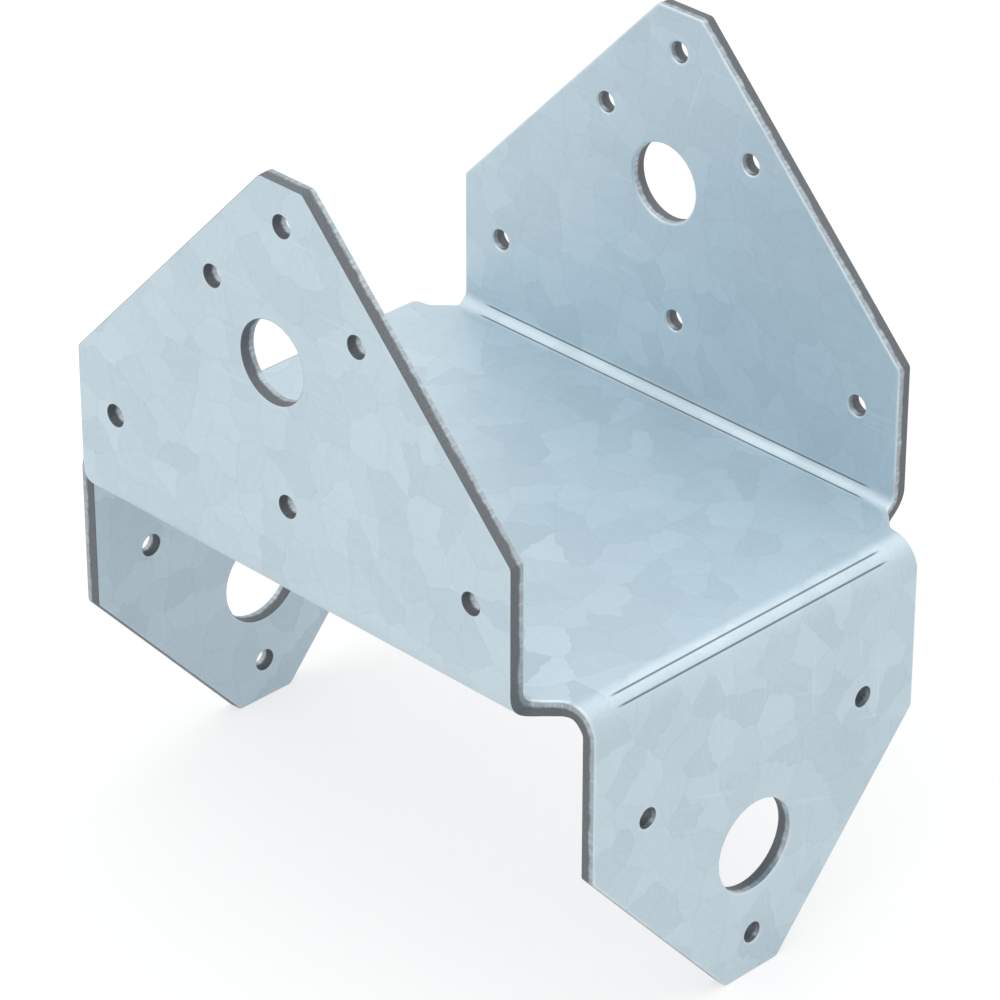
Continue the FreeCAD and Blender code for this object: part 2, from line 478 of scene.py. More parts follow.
def covered(rings):
    """Grid points and triangles of the metal inside these rings, with the ring points numbered first."""
    starts = np.vstack(rings)
    ends = np.vstack([np.roll(ring, -1, axis=0) for ring in rings])
    lines_u, lines_v = grid_lines(POST_TIP, POST_FOLD), grid_lines(BEAM_TIP, BEAM_FOLD)
    grid = np.stack(np.meshgrid(lines_u, lines_v, indexing="ij"), axis=-1).reshape(-1, 2)
    grid = grid[crossings_right(grid, starts, ends) % 2 == 1]
    gap = np.min(np.linalg.norm(grid[:, None] - starts[None, :], axis=2), axis=1)
    grid = grid[gap > GRID_GAP]
    counts = np.array([len(ring) for ring in rings])
    first = np.repeat(np.cumsum(counts) - counts, counts)
    number = np.arange(counts.sum())
    following = first + (number - first + 1) % np.repeat(counts, counts)
    edges = np.stack([number, following], axis=1)
    points = np.vstack([starts, grid])
    vectors = [Vector(point) for point in points.tolist()]
    made = delaunay_2d_cdt(vectors, edges.tolist(), [], 0, MERGE_DISTANCE, False)
    if len(made[0]) != len(points):
        raise ValueError("the Delaunay function merged or added points")
    triangles = np.array(made[2])
    middles = points[triangles].mean(axis=1)
    return grid, triangles[crossings_right(middles, starts, ends) % 2 == 1]


def ring_numbers(row):
    """Numbers of the points that all loops have on one row of the profile."""
    numbers = [start + np.arange(len(loop[0])) * ROWS + row for loop, start in zip(loops, wall_starts)]
    return np.concatenate(numbers)


upper_grid, upper_triangles = covered([places[:, 0] for places, heights, flat in walls])
lower_grid, lower_triangles = covered([places[:, -1] for places, heights, flat in walls])
print(len(upper_triangles), "triangles above and", len(lower_triangles), "below")

# %% [markdown]
# ## One mesh
# The edges and both faces share their points, so the sheet is one closed skin. Blender would average the
# faces round a point to shade it, which smears light over the flats. The normals are known exactly, so
# they are handed over instead.
#
# Four things go along for the materials: the place on the blank as a UV map, because zinc crystals grew
# on the flat sheet and run on over the folds, the place along and through each edge as another, how near
# a point is to an edge, and which side of the sheet it is on.

# %% Build the skin
def numbered(triangles, row, grid_start):
    """Triangle corners as point numbers of the whole mesh: points of one profile row, then the grid."""
    ring = ring_numbers(row)
    grid_numbers = grid_start + np.arange(triangles.max() + 1 - len(ring))
    return np.concatenate([ring, grid_numbers])[triangles]


upper_start = len(wall_places)
lower_start = upper_start + len(upper_grid)
places = np.vstack([wall_places, upper_grid, lower_grid])
heights = np.concatenate([wall_heights, np.full(len(upper_grid), SHEET), np.zeros(len(lower_grid))])
upper_flat = np.tile([0.0, 0, 1], (len(upper_grid), 1))
lower_flat = np.tile([0.0, 0, -1], (len(lower_grid), 1))
flat = np.vstack([wall_flat, upper_flat, lower_flat])
positions = folded(places[:, 0], places[:, 1], heights) / MM
normals = facing(places[:, 0], places[:, 1], heights, flat)

upper_faces = numbered(upper_triangles, 0, upper_start)
lower_faces = numbered(lower_triangles, ROWS - 1, lower_start)[:, ::-1]
faces = wall_faces.tolist() + upper_faces.tolist() + lower_faces.tolist()
mesh = bpy.data.meshes.new("post_cap_sheet")
mesh.from_pydata(positions.tolist(), [], faces)
sheet = bpy.data.objects.new("post_cap_sheet", mesh)
bpy.context.scene.collection.objects.link(sheet)

mesh.polygons.foreach_set("use_smooth", np.ones(len(mesh.polygons), dtype=bool))
face_normals = np.empty(len(mesh.polygons) * 3)
mesh.polygons.foreach_get("normal", face_normals)
first_corners = np.concatenate([wall_faces[:, 0], upper_faces[:, 0], lower_faces[:, 0]])
agreement = np.sum(face_normals.reshape(-1, 3) * normals[first_corners], axis=1)
print("mesh", len(mesh.vertices), "points", len(mesh.polygons), "faces")
print("worst agreement of the normals with their faces", round(agreement.min(), 3))
mesh.normals_split_custom_set_from_vertices(normals.tolist())

# %% [markdown]
# ## Maps for the materials
# A finish has to know where on the sheet it is. Each corner of a face takes its place on the blank from
# its point, and two attributes say how near a cut edge a point is and which side of the sheet it is on.

# %% Place on the blank, wear and side
WEAR_BEGINS, WEAR_ENDS = 0.5, 0.2

corner_points = np.empty(len(mesh.loops), dtype=np.int32)
mesh.loops.foreach_get("vertex_index", corner_points)
blank_map = mesh.uv_layers.new(name="blank")
blank_map.data.foreach_set("uv", (places[corner_points] / MM).astype(np.float32).ravel())


def point_values(name, values):
    """One number for each point of the mesh, as an attribute that a material can read."""
    attribute = mesh.attributes.new(name, "FLOAT", "POINT")
    attribute.data.foreach_set("value", values.astype(np.float32))


worn_rows = np.concatenate([[0, 0, WEAR_BEGINS], np.ones(ROWS - 5), [WEAR_ENDS, 0]])
worn = np.tile(worn_rows, upper_start // ROWS)
point_values("edge_near", np.concatenate([worn, np.zeros(len(places) - upper_start)]))
point_values("upper_side", heights / SHEET)
print("attributes for wear and for the side that was up")

# %% [markdown]
# The place along and through a cut edge is worked out face by face instead, because a closed loop's last
# face must run on past the whole way round. From a value at each point it would jump back to zero.

# %% Place along the cut edges
def lengths_along(points):
    """Distance along a closed loop to each point, and the whole way round."""
    run = np.linalg.norm(np.roll(points, -1, axis=0) - points, axis=1)
    return np.concatenate([[0], np.cumsum(run)])


def edge_corners(points):
    """Along and through values of the four corners of each quad of one loop's grid."""
    run = lengths_along(points)
    here = np.repeat(run[:-1], ROWS - 1)
    ahead = np.repeat(run[1:], ROWS - 1)
    upper = np.tile(profile_height[:-1], len(points))
    lower = np.tile(profile_height[1:], len(points))
    return np.stack([here, upper, ahead, upper, ahead, lower, here, lower], axis=1).reshape(-1, 2)


edge_map = mesh.uv_layers.new(name="edge")
edge_values = np.zeros((len(mesh.loops), 2))
edge_values[: 4 * len(wall_faces)] = np.vstack([edge_corners(loop[0]) for loop in loops])
edge_map.data.foreach_set("uv", (edge_values / MM).astype(np.float32).ravel())
mesh.uv_layers.active = blank_map
print("maps", [layer.name for layer in mesh.uv_layers])

# %% [markdown]
# ## Nodes, briefly
# Materials are graphs of nodes. A few helpers keep their code short: one places a node and sets or wires
# its inputs, and the rest do the same for a sum, a mix or a noise. A Mix node has sockets for every kind
# of value, and its colours are inputs 6 and 7 and output 2. A node group is a graph with named sockets,
# which can be placed in several materials, each with its own values.

# %% Node helpers
VECTOR_SOCKETS = ("Vector", "Tilt")
FIRST_COLOUR, SECOND_COLOUR, MIXED_COLOUR = 6, 7, 2


def place(tree, kind, inputs=None, **settings):
    """A node of a kind with its settings. Each input is set to a value, or wired if given a socket."""
    node = tree.nodes.new(kind)
    for name, value in settings.items():
        setattr(node, name, value)
    for key, value in (inputs or {}).items():
        if isinstance(value, bpy.types.NodeSocket):
            tree.links.new(value, node.inputs[key])
        else:
            node.inputs[key].default_value = value
    return node


def sum_of(tree, operation, *values):
    """The result socket of a Math node."""
    return place(tree, "ShaderNodeMath", dict(enumerate(values)), operation=operation).outputs[0]


def vector_of(tree, operation, *values):
    """The vector socket of a Vector Math node."""
    node = place(tree, "ShaderNodeVectorMath", dict(enumerate(values)), operation=operation)
    return node.outputs["Vector"]


def ranged(tree, value, start, end, low, high, smooth=True):
    """A value taken from start..end to low..high, and held outside it."""
    inputs = {"Value": value, "From Min": start, "From Max": end, "To Min": low, "To Max": high}
    kind = "SMOOTHSTEP" if smooth else "LINEAR"
    return place(tree, "ShaderNodeMapRange", inputs, interpolation_type=kind).outputs["Result"]


def weighted(tree, start, parts):
    """A start value plus each part's value times its weight, one Math node for each part."""
    total = start
    for value, weight in parts:
        total = sum_of(tree, "MULTIPLY_ADD", value, weight, total)
    return total


def opaque(colour):
    """A plain colour with full alpha. A colour that comes from a socket stays as it is."""
    return colour if isinstance(colour, bpy.types.NodeSocket) else (*colour, 1)


def mixed(tree, share, first, second):
    """Two colours mixed by a share from 0 to 1."""
    inputs = {"Factor": share, FIRST_COLOUR: opaque(first), SECOND_COLOUR: opaque(second)}
    return place(tree, "ShaderNodeMix", inputs, data_type="RGBA").outputs[MIXED_COLOUR]


def noise(tree, vector, scale, detail=2.0, roughness=0.5):
    """A node of smooth noise over a vector, with values of about 0 to 1."""
    inputs = {"Vector": vector, "Scale": scale, "Detail": detail, "Roughness": roughness}
    return place(tree, "ShaderNodeTexNoise", inputs)


def new_group(name, inputs, outputs):
    """An empty node group with number or vector sockets. Returns it with its input and output nodes."""
    tree = bpy.data.node_groups.new(name, "ShaderNodeTree")
    for side, sockets in (("INPUT", inputs), ("OUTPUT", outputs)):
        for socket in sockets:
            kind = "NodeSocketVector" if socket in VECTOR_SOCKETS else "NodeSocketFloat"
            tree.interface.new_socket(socket, in_out=side, socket_type=kind)
    return tree, place(tree, "NodeGroupInput"), place(tree, "NodeGroupOutput")


def use_group(tree, group, inputs):
    """A node group placed in a material, with its own values."""
    return place(tree, "ShaderNodeGroup", inputs, node_tree=group)


print("vector sockets of the groups:", VECTOR_SOCKETS)

# %% [markdown]
# ## Zinc spangle
# Hot zinc freezes on steel as flat crystals, several millimetres across, each with its own tilt. Light
# picks some out and leaves others dull, and fine feathers run across each one in its own direction. A
# Voronoi texture gives one cell for each crystal and a random colour for it. Straight cell borders look
# like cracked mud, so a broad and a fine noise bend them first. The feathers are noise stretched along a
# direction that the random colour picks.
#
# The tilt could be a ramp in a bump map, but then every border would show as a step. So the group puts
# out the tilt itself, as a small vector that the material adds to the normal.

# %% Spangle group
BROAD_BEND = 0.7
FINE_BEND = 0.22
FINE_BEND_RATIO = 5.0
FEATHER_STRETCH = 8.0
FEATHER_FINENESS = 1.6
BORDER_WIDTH = 0.05
MIDDLE_GREY = (0.5, 0.5, 0.5)


def bent_by(tree, vector, scale, size):
    """A vector moved by noise of one scale, by up to half of a size each way."""
    wander = noise(tree, vector, scale, roughness=0.6).outputs["Color"]
    centred = vector_of(tree, "SUBTRACT", wander, MIDDLE_GREY)
    step = place(tree, "ShaderNodeVectorMath", {0: centred, "Scale": size}, operation="SCALE")
    return vector_of(tree, "ADD", vector, step.outputs[0])


spangle, given, result = new_group(
    "zinc_spangle", ["Vector", "Per Metre"], ["Tone", "Feather", "Border", "Tilt"]
)
per_metre = given.outputs["Per Metre"]
fine_scale = sum_of(spangle, "MULTIPLY", per_metre, FINE_BEND_RATIO)
broad_size = sum_of(spangle, "DIVIDE", BROAD_BEND, per_metre)
fine_size = sum_of(spangle, "DIVIDE", FINE_BEND, per_metre)
bent = bent_by(spangle, given.outputs["Vector"], per_metre, broad_size)
bent = bent_by(spangle, bent, fine_scale, fine_size)
cell_inputs = {"Vector": bent, "Scale": per_metre}
crystals = place(spangle, "ShaderNodeTexVoronoi", cell_inputs, voronoi_dimensions="2D")
borders = place(
    spangle, "ShaderNodeTexVoronoi", cell_inputs, voronoi_dimensions="2D", feature="DISTANCE_TO_EDGE"
)
chance = place(spangle, "ShaderNodeSeparateColor", {"Color": crystals.outputs["Color"]})
heading = sum_of(spangle, "MULTIPLY", chance.outputs["Green"], 2 * np.pi)
headed = place(
    spangle, "ShaderNodeVectorRotate", {"Vector": bent, "Angle": heading}, rotation_type="Z_AXIS"
)
stretched = vector_of(spangle, "MULTIPLY", headed.outputs["Vector"], (1.0, FEATHER_STRETCH, 1.0))
feather_scale = sum_of(spangle, "MULTIPLY", per_metre, FEATHER_FINENESS)
feathers = noise(spangle, stretched, feather_scale, detail=4.0, roughness=0.65)
border = ranged(spangle, borders.outputs["Distance"], 0.0, BORDER_WIDTH, 1.0, 0.0)
tilt = vector_of(spangle, "SUBTRACT", crystals.outputs["Color"], MIDDLE_GREY)
spangle.links.new(chance.outputs["Red"], result.inputs["Tone"])
spangle.links.new(feathers.outputs["Fac"], result.inputs["Feather"])
spangle.links.new(border, result.inputs["Border"])
spangle.links.new(tilt, result.inputs["Tilt"])
print("spangle group with", len(spangle.nodes), "nodes")

# %% [markdown]
# ## Rub marks
# Sheet slides over rollers, dies and other sheets, which leaves short, faint, nearly parallel lines. They
# are noise stretched many times over, of which only the peaks are kept, inside soft patches of a second,
# broad noise. Both finishes use them: long and sparse on the faces, and short and dense through the
# thickness of the cut edges.

# %% Rub mark group
STREAKS_PER_PATCH = 9.0
PATCH_RANGE = (0.4, 0.62, 0.0, 1.0)
PEAK_RISE = 0.12

rubs, given, result = new_group("rub_marks", ["Vector", "Per Metre", "Stretch", "Least"], ["Marks"])
lined = place(rubs, "ShaderNodeCombineXYZ", {"X": given.outputs["Stretch"], "Y": 1.0, "Z": 1.0})
drawn = vector_of(rubs, "MULTIPLY", given.outputs["Vector"], lined.outputs[0])
streaks = noise(rubs, drawn, given.outputs["Per Metre"], roughness=0.55)
patch_scale = sum_of(rubs, "DIVIDE", given.outputs["Per Metre"], STREAKS_PER_PATCH)
patches = noise(rubs, given.outputs["Vector"], patch_scale, detail=1.0)
peak = sum_of(rubs, "SUBTRACT", streaks.outputs["Fac"], given.outputs["Least"])
peak = ranged(rubs, peak, 0.0, PEAK_RISE, 0.0, 1.0)
inside = ranged(rubs, patches.outputs["Fac"], *PATCH_RANGE)
rubs.links.new(sum_of(rubs, "MULTIPLY", peak, inside), result.inputs["Marks"])
print("rub mark group with", len(rubs.nodes), "nodes")


# %% [markdown]
# ## Galvanised sheet
# The finish of both faces. Zinc soon grows a thin dull skin, so it is only partly metallic and fairly
# rough. On top of the spangle it has broad clouds where the coat cooled unevenly, rub marks, frosting
# where a fold stretched or crowded the coat, and a little polish on the drawn-in edges, which everything
# touches first.
#
# Along each fold run two thin dark lines on the side that was up. They are partly the pinch of the folding
# tool, pressed in as a groove by the bump, and partly painted shade of the fold's round. They lie within
# the fold, and they stop short of its ends. Both follow from the blank's own map: the distance past the
# fold's start says how far round the fold a point is.

# %% Fold marks and painted shade
MARK_AND_SHADE_FADE = 3.0
MARK_AND_SHADE_SHARP = 0.4
FROST_FULL, FROST_END = 0.25, 0.55
# The two dark lines in each fold are tool marks and painted shade of the fold's round.
BEAM_MARK_AND_SHADE_LINES = (0.22, 0.78)
BEAM_MARK_AND_SHADE_HALF = 0.40
BEAM_MARK_AND_SHADE_END = 56.0
POST_MARK_AND_SHADE_LINES = (0.27, 0.53)
POST_MARK_AND_SHADE_HALF = 0.22
POST_MARK_AND_SHADE_END = 39.0


def fold_mark_and_shade(tree, across, along_it, fold, shares, half, mark_and_shade_end):
    """Mask of the two dark lines at one pair of folds, tool marks and painted shade both, and of the round
    between a fold's start and end.

    A line is where the distance past the fold's start is within half a line's width of its share.
    """
    past = sum_of(tree, "SUBTRACT", sum_of(tree, "ABSOLUTE", across), fold / MM)
    shifted = [sum_of(tree, "SUBTRACT", past, share * FOLD_RUN / MM) for share in shares]
    nearest = sum_of(tree, "MINIMUM", *[sum_of(tree, "ABSOLUTE", value) for value in shifted])
    line = ranged(tree, nearest, MARK_AND_SHADE_SHARP * half / MM, half / MM, 1.0, 0.0)
    reach = sum_of(tree, "ABSOLUTE", along_it)
    kept = ranged(tree, reach, (mark_and_shade_end - MARK_AND_SHADE_FADE) / MM, mark_and_shade_end / MM, 1.0, 0.0)
    middle = sum_of(tree, "ABSOLUTE", sum_of(tree, "SUBTRACT", past, FOLD_RUN / 2 / MM))
    rounding = ranged(tree, middle, FROST_FULL * FOLD_RUN / MM, FROST_END * FOLD_RUN / MM, 1.0, 0.0)
    return sum_of(tree, "MULTIPLY", line, kept), rounding


def attribute(tree, name):
    """The number that a point attribute has here."""
    return place(tree, "ShaderNodeAttribute", attribute_name=name).outputs["Fac"]


print("marks stop", BEAM_MARK_AND_SHADE_END, "and", POST_MARK_AND_SHADE_END, "mm from the middle of their folds")

# %% [markdown]
# The tone is built first. Each pattern moves it a little between a dull and a bright zinc: the crystal's
# own chance, the feathers across it, the clouds and a fine grain. One sum of all four keeps the sheet
# calm, because peaks of one seldom meet peaks of another.

# %% Tone of the zinc
ZINC_DULL = (0.44, 0.545, 0.61)
ZINC_BRIGHT = (0.565, 0.675, 0.74)
BORDER_COLOUR = (0.30, 0.37, 0.42)
CRYSTALS_PER_METRE = 120.0
CLOUDS_PER_METRE = 22.0
GRAINS_PER_METRE = 1400.0
CRYSTAL_PART = 0.34
FEATHER_PART = 0.50
CLOUD_PART = 0.40
GRAIN_PART = 0.24
DULLEST, BRIGHTEST = 0.22, 1.08
BORDER_DEPTH = 0.10

galvanised = bpy.data.materials.new("galvanised_sheet")
galvanised.use_nodes = True
tree = galvanised.node_tree
shader = tree.nodes["Principled BSDF"]
blank_place = place(tree, "ShaderNodeUVMap", uv_map="blank").outputs["UV"]
crystal = use_group(tree, spangle, {"Vector": blank_place, "Per Metre": CRYSTALS_PER_METRE})
feather = crystal.outputs["Feather"]
cloud = noise(tree, blank_place, CLOUDS_PER_METRE, detail=3.0, roughness=0.55).outputs["Fac"]
zinc_grain = noise(tree, blank_place, GRAINS_PER_METRE, detail=3.0, roughness=0.6).outputs["Fac"]

share = weighted(tree, 0.0, [
    (crystal.outputs["Tone"], CRYSTAL_PART),
    (feather, FEATHER_PART),
    (cloud, CLOUD_PART),
    (zinc_grain, GRAIN_PART),
])
share = ranged(tree, share, DULLEST, BRIGHTEST, 0.0, 1.0, smooth=False)
colour = mixed(tree, share, ZINC_DULL, ZINC_BRIGHT)
border_share = sum_of(tree, "MULTIPLY", crystal.outputs["Border"], BORDER_DEPTH)
colour = mixed(tree, border_share, colour, BORDER_COLOUR)
print("tone of the zinc with", len(tree.nodes), "nodes")

# %% [markdown]
# What the works leave on the zinc comes next, each as a mask and a colour: rub marks in two directions,
# frost on the folds, polish on the drawn-in edges and the dark lines at the folds, which only the upper
# side has;
# these are partly the folding tool's marks and partly painted shade. A range below gives the two noise
# values between which a mask goes from weak to strong, and
# how weak and how strong it is there.

# %% Marks of the works and painted shade at the folds
POLISH_COLOUR = (0.66, 0.74, 0.78)
FROST_COLOUR = (0.58, 0.67, 0.72)
# The dark colour of the fold lines is painted shade as well as the tool's marks.
MARK_AND_SHADE_COLOUR = (0.13, 0.16, 0.18)
RUB_DEPTH = 0.25
MARK_AND_SHADE_DEPTH = 0.9
LONG_RUBS = {"Per Metre": 900.0, "Stretch": 0.03, "Least": 0.6}
CROSS_RUBS = {"Per Metre": 700.0, "Stretch": 0.04, "Least": 0.62}
CROSS_ANGLE = 1.9
FROST_RANGE = (0.3, 0.7, 0.1, 0.5)
POLISH_RANGE = (0.35, 0.65, 0.1, 0.5)
POLISH_PATCHES_PER_METRE = 160.0

long_rubs = use_group(tree, rubs, {"Vector": blank_place, **LONG_RUBS})
turned = place(
    tree, "ShaderNodeVectorRotate", {"Vector": blank_place, "Angle": CROSS_ANGLE}, rotation_type="Z_AXIS"
)
cross_rubs = use_group(tree, rubs, {"Vector": turned.outputs["Vector"], **CROSS_RUBS})
rubbed = sum_of(tree, "MAXIMUM", long_rubs.outputs["Marks"], cross_rubs.outputs["Marks"])
colour = mixed(tree, sum_of(tree, "MULTIPLY", rubbed, RUB_DEPTH), colour, POLISH_COLOUR)

axes = place(tree, "ShaderNodeSeparateXYZ", {0: blank_place})
u_place, v_place = axes.outputs["X"], axes.outputs["Y"]
beam_mark_and_shade, beam_round = fold_mark_and_shade(
    tree, v_place, u_place, BEAM_FOLD, BEAM_MARK_AND_SHADE_LINES, BEAM_MARK_AND_SHADE_HALF, BEAM_MARK_AND_SHADE_END
)
post_mark_and_shade, post_round = fold_mark_and_shade(
    tree, u_place, v_place, POST_FOLD, POST_MARK_AND_SHADE_LINES, POST_MARK_AND_SHADE_HALF, POST_MARK_AND_SHADE_END
)
# The dark lines at the folds, painted shade and tool marks, on the side that was up only.
mark_and_shade = sum_of(tree, "MAXIMUM", beam_mark_and_shade, post_mark_and_shade)
mark_and_shade = sum_of(tree, "MULTIPLY", mark_and_shade, attribute(tree, "upper_side"))
frost = sum_of(tree, "MAXIMUM", beam_round, post_round)
frost = sum_of(tree, "MULTIPLY", frost, ranged(tree, zinc_grain, *FROST_RANGE))
colour = mixed(tree, frost, colour, FROST_COLOUR)
patches = noise(tree, blank_place, POLISH_PATCHES_PER_METRE).outputs["Fac"]
patchy = ranged(tree, patches, *POLISH_RANGE)
polish = sum_of(tree, "MULTIPLY", attribute(tree, "edge_near"), patchy)
colour = mixed(tree, polish, colour, POLISH_COLOUR)
# The fold lines darken the base colour: painted shade as well as the tool's marks.
colour = mixed(tree, sum_of(tree, "MULTIPLY", mark_and_shade, MARK_AND_SHADE_DEPTH), colour, MARK_AND_SHADE_COLOUR)
tree.links.new(colour, shader.inputs["Base Color"])
print("marks of the works, now", len(tree.nodes), "nodes")

# %% [markdown]
# Bright zinc is also the smoother zinc, and frost is rough. The relief of the coat is a few hundredths of
# a millimetre, too fine for the mesh, so feathers, grain and fold marks go into a bump. Each crystal's
# own tilt is added to the normal that the bump puts out.

# %% Roughness and relief
ROUGHEST = 0.56
ZINC_METALLIC = 0.6
CRYSTAL_TILT = (0.10, 0.10, 0.10)
RELIEF_METRES = 0.00012
RELIEF_STRENGTH = 0.25

rough_parts = [(share, -0.16), (frost, 0.12), (rubbed, -0.08), (polish, -0.12)]
tree.links.new(weighted(tree, ROUGHEST, rough_parts), shader.inputs["Roughness"])
shader.inputs["Metallic"].default_value = ZINC_METALLIC

height_parts = [(feather, 0.3), (zinc_grain, 0.25), (mark_and_shade, -3.0)]
height = weighted(tree, 0.0, height_parts)
relief = {"Strength": RELIEF_STRENGTH, "Distance": RELIEF_METRES, "Height": height}
bumped = place(tree, "ShaderNodeBump", relief).outputs["Normal"]
tilted = vector_of(tree, "MULTIPLY_ADD", crystal.outputs["Tilt"], CRYSTAL_TILT, bumped)
tree.links.new(vector_of(tree, "NORMALIZE", tilted), shader.inputs["Normal"])
print("galvanised material with", len(tree.nodes), "nodes")

# %% [markdown]
# ## Cut edges
# A press shears part of the way through the sheet and tears the rest. The sheared band is bright, with
# fine lines through the thickness where the punch slid, and some zinc is dragged down over it. The torn
# band is grey and grainy. The line between them wanders. Both are bare steel, so the edge is darker than
# the faces beside it.
#
# To make it wander, a noise is added to the height in the sheet, and the sum is cut off softly between two
# limits. The noise adds half of WAVER on average, so the limits lie that much higher than the line.

# %% Cut edge material
SHEARED_STEEL = (0.33, 0.37, 0.40)
TORN_STEEL = (0.14, 0.15, 0.16)
DRAGGED_ZINC = (0.50, 0.58, 0.63)
WAVER = 1.6 / MM
WAVERS_PER_METRE = 260.0
BAND_START = (rubbed_end + 0.5) / MM
BAND_FULL = (rubbed_end + 1.2) / MM
DRAGS_PER_METRE = 900.0
DRAG_STRETCH = (1.0, 0.06, 1.0)
DRAG_RANGE = (0.45, 0.62, 0.0, 1.0)
SMEARS_PER_METRE = 500.0
SMEAR_RANGE = (0.3, 0.7, 0.4, 0.75)
SLIDE_LINES = {"Per Metre": 250.0, "Stretch": 16.0, "Least": 0.44}
SLIDE_DEPTH = 0.25
SLIDE_ON_TORN, SLIDE_MORE_ON_SHEARED = 0.2, 0.7
TEARS_PER_METRE = 3600.0
TEAR_RANGE = (0.35, 0.7, 0.0, 0.35)

cut_steel = bpy.data.materials.new("cut_edge_steel")
cut_steel.use_nodes = True
tree = cut_steel.node_tree
shader = tree.nodes["Principled BSDF"]
edge_place = place(tree, "ShaderNodeUVMap", uv_map="edge").outputs["UV"]
through = place(tree, "ShaderNodeSeparateXYZ", {0: edge_place}).outputs["Y"]
wander = noise(tree, edge_place, WAVERS_PER_METRE, detail=3.0, roughness=0.6).outputs["Fac"]
level = sum_of(tree, "MULTIPLY_ADD", wander, WAVER, through)
sheared = ranged(tree, level, BAND_START, BAND_FULL, 0.0, 1.0)
torn = sum_of(tree, "SUBTRACT", 1.0, sheared)
steel = mixed(tree, sheared, TORN_STEEL, SHEARED_STEEL)

slide = vector_of(tree, "MULTIPLY", edge_place, DRAG_STRETCH)
drag = noise(tree, slide, DRAGS_PER_METRE, detail=3.0, roughness=0.6).outputs["Fac"]
dragged = sum_of(tree, "MULTIPLY", ranged(tree, drag, *DRAG_RANGE), sheared)
smear = use_group(tree, spangle, {"Vector": edge_place, "Per Metre": SMEARS_PER_METRE})
smeared = ranged(tree, smear.outputs["Feather"], *SMEAR_RANGE)
steel = mixed(tree, sum_of(tree, "MULTIPLY", dragged, smeared), steel, DRAGGED_ZINC)

slid = use_group(tree, rubs, {"Vector": edge_place, **SLIDE_LINES}).outputs["Marks"]
slid_here = weighted(tree, SLIDE_ON_TORN, [(sheared, SLIDE_MORE_ON_SHEARED)])
lines = sum_of(tree, "MULTIPLY", slid, slid_here)
steel = mixed(tree, sum_of(tree, "MULTIPLY", lines, SLIDE_DEPTH), steel, DRAGGED_ZINC)
torn_grain = noise(tree, edge_place, TEARS_PER_METRE, detail=4.0, roughness=0.7).outputs["Fac"]
speckle = ranged(tree, torn_grain, *TEAR_RANGE)
steel = mixed(tree, sum_of(tree, "MULTIPLY", speckle, torn), steel, SHEARED_STEEL)
tree.links.new(steel, shader.inputs["Base Color"])
print("colours of the cut edge with", len(tree.nodes), "nodes")

# %% [markdown]
# The sheared band is smooth and the torn one rough. The grain of the tear and the lines of the slide are
# finer than the mesh, so they go into a bump.

# %% Roughness and relief of the cut edge
TORN_ROUGHNESS = 0.62
STEEL_METALLIC = 0.85
TEAR_METRES = 0.0002
TEAR_STRENGTH = 0.5

rough_parts = [(sheared, -0.22)]
tree.links.new(weighted(tree, TORN_ROUGHNESS, rough_parts), shader.inputs["Roughness"])
shader.inputs["Metallic"].default_value = STEEL_METALLIC
tears = sum_of(tree, "MULTIPLY", torn_grain, torn)
height_parts = [(tears, 1.5), (lines, -0.3)]
height = weighted(tree, 0.0, height_parts)
relief = {"Strength": TEAR_STRENGTH, "Distance": TEAR_METRES, "Height": height}
tree.links.new(place(tree, "ShaderNodeBump", relief).outputs["Normal"], shader.inputs["Normal"])
print("cut edge material with", len(tree.nodes), "nodes")

# %% [markdown]
# ## Which face gets which finish
# The drawn-in rounding still has its zinc, so it goes with the faces. Only the rows of the profile below
# it are bare, the small broken corner among them.

# %% Finishes on the faces
FIRST_BARE_ROW = DRAWN_STEPS
LAST_BARE_ROW = ROWS - 3

mesh.materials.append(galvanised)
mesh.materials.append(cut_steel)
wall_rows = np.tile(np.arange(ROWS - 1), len(wall_faces) // (ROWS - 1))
slot_of_face = np.zeros(len(mesh.polygons), dtype=np.int32)
slot_of_face[: len(wall_faces)] = (wall_rows >= FIRST_BARE_ROW) & (wall_rows <= LAST_BARE_ROW)
mesh.polygons.foreach_set("material_index", slot_of_face)
print(int(slot_of_face.sum()), "faces of bare steel")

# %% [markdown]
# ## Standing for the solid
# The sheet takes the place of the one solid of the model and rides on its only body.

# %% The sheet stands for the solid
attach(sheet, "root")
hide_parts("post_cap")
print(sheet.name, "stands for post_cap")

# %% [markdown]
# ## Floor
# The part stands on its tips on a pale floor, which takes the shadow. A floor lit like the part would
# look grey, so part of what the camera and the reflections see of it is its own glow, and the shadow
# stays as soft as on real paper. From below the floor lets everything through, so that the underside can
# be looked at too.

# %% Floor
FLOOR_REACH = 6.0

floor_z = float(cad_low[2])
floor_mesh = bpy.data.meshes.new("studio_floor")
corners = [(-1, -1), (1, -1), (1, 1), (-1, 1)]
floor_points = [(x * FLOOR_REACH, y * FLOOR_REACH, floor_z) for x, y in corners]
floor_mesh.from_pydata(floor_points, [], [(0, 1, 2, 3)])
floor = bpy.data.objects.new("studio_floor", floor_mesh)
bpy.context.scene.collection.objects.link(floor)
print("floor at", round(floor_z, 4), "m")


# %% Floor material
def looked_at(tree):
    """1 for rays of the camera and of reflections and refractions, and 0 for rays that carry light."""
    rays = place(tree, "ShaderNodeLightPath").outputs
    direct = sum_of(tree, "MAXIMUM", rays["Is Camera Ray"], rays["Is Glossy Ray"])
    return sum_of(tree, "MAXIMUM", direct, rays["Is Transmission Ray"])


FLOOR_COLOUR = (0.88, 0.88, 0.88, 1)
FLOOR_GLOW = 1.10
FLOOR_GLOW_SHARE = 0.60

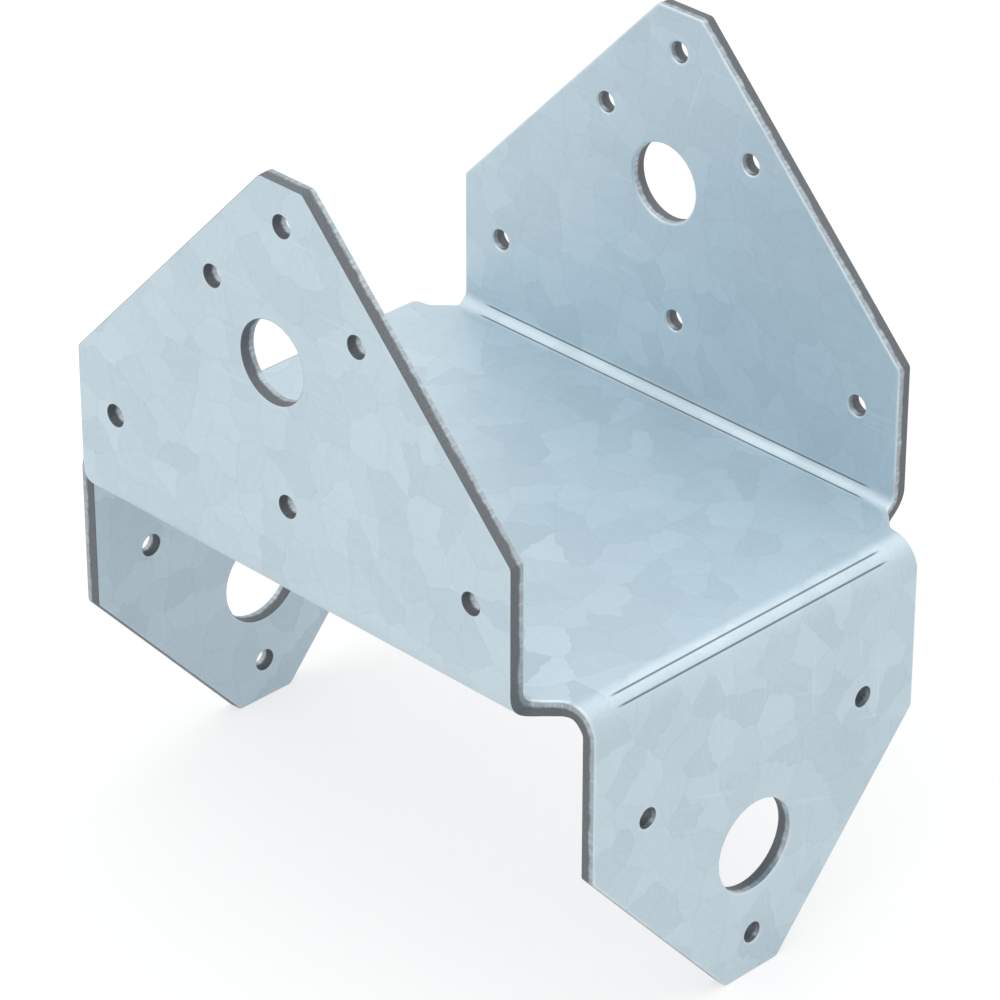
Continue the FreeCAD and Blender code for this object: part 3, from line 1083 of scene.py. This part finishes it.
floor_look = bpy.data.materials.new("pale_floor")
floor_look.use_nodes = True
tree = floor_look.node_tree
tree.nodes.clear()
matt = place(tree, "ShaderNodeBsdfDiffuse", {"Color": FLOOR_COLOUR}).outputs[0]
glow = place(tree, "ShaderNodeEmission", {"Strength": FLOOR_GLOW}).outputs[0]
glow_share = sum_of(tree, "MULTIPLY", looked_at(tree), FLOOR_GLOW_SHARE)
paper = place(tree, "ShaderNodeMixShader", {0: glow_share, 1: matt, 2: glow}).outputs[0]
clear = place(tree, "ShaderNodeBsdfTransparent").outputs[0]
below = place(tree, "ShaderNodeNewGeometry").outputs["Backfacing"]
seen = place(tree, "ShaderNodeMixShader", {0: below, 1: paper, 2: clear}).outputs[0]
place(tree, "ShaderNodeOutputMaterial", {"Surface": seen})
floor_mesh.materials.append(floor_look)
print("floor material with", len(tree.nodes), "nodes")

# %% [markdown]
# ## Light
# A white surround lights the sheet from all sides, as a light tent does in a product photograph. Two
# large soft lamps add a direction to it, one from the left and one from above, so that the plate and the
# flanges differ in tone. Small strong lamps would burn white spots into the zinc.

# %% World
WORLD_LIGHT = 0.8
WORLD_SEEN = 1.0

world = bpy.data.worlds.new("studio")
bpy.context.scene.world = world
world.use_nodes = True
tree = world.node_tree
background = tree.nodes["Background"]
background.inputs["Color"].default_value = (1, 1, 1, 1)
strength = ranged(tree, looked_at(tree), 0.0, 1.0, WORLD_LIGHT, WORLD_SEEN, smooth=False)
tree.links.new(strength, background.inputs["Strength"])
print("surround", WORLD_LIGHT, "as light and", WORLD_SEEN, "as seen")


# %% Lamps
def softbox(name, direction, distance, size, power):
    """A square area lamp that looks at the object from a direction."""
    lamp = bpy.data.lights.new(name, "AREA")
    lamp.shape = "SQUARE"
    lamp.size = size
    lamp.energy = power
    holder = bpy.data.objects.new(name, lamp)
    bpy.context.scene.collection.objects.link(holder)
    back = Vector(direction).normalized()
    holder.location = back * distance
    holder.rotation_euler = back.to_track_quat("Z", "Y").to_euler()
    return holder


lamps = [
    softbox("key", direction=(-0.35, -0.75, 0.9), distance=1.4, size=1.6, power=6.4),
    softbox("top", direction=(0.1, 0.3, 1.0), distance=1.4, size=1.8, power=7.5),
]
print("lamps", [lamp.name for lamp in lamps])

# %% [markdown]
# ## Camera
# The cap is seen from its near right corner and a little above, through a long lens, so that its edges
# stay almost parallel. The direction, the lens and its shift were found by matching the solid's corners
# and holes to the picture.

# %% Camera
AZIMUTH, ELEVATION = 0.791634, 0.529476
DISTANCE = 1.05
LENS, SENSOR = 186.6, 36.0
SHIFT_X, SHIFT_Y = 0.0072, 0.0047

back = Vector((
    np.sin(AZIMUTH) * np.cos(ELEVATION),
    -np.cos(AZIMUTH) * np.cos(ELEVATION),
    np.sin(ELEVATION),
))
view = bpy.data.cameras.new("camera")
view.lens = LENS
view.sensor_width = SENSOR
view.shift_x = SHIFT_X
view.shift_y = SHIFT_Y
camera = bpy.data.objects.new("camera", view)
bpy.context.scene.collection.objects.link(camera)
camera.location = back * DISTANCE
camera.rotation_euler = back.to_track_quat("Z", "Y").to_euler()
bpy.context.scene.camera = camera
bpy.context.scene.view_settings.view_transform = "Standard"
print("camera at", [round(value, 3) for value in camera.location])
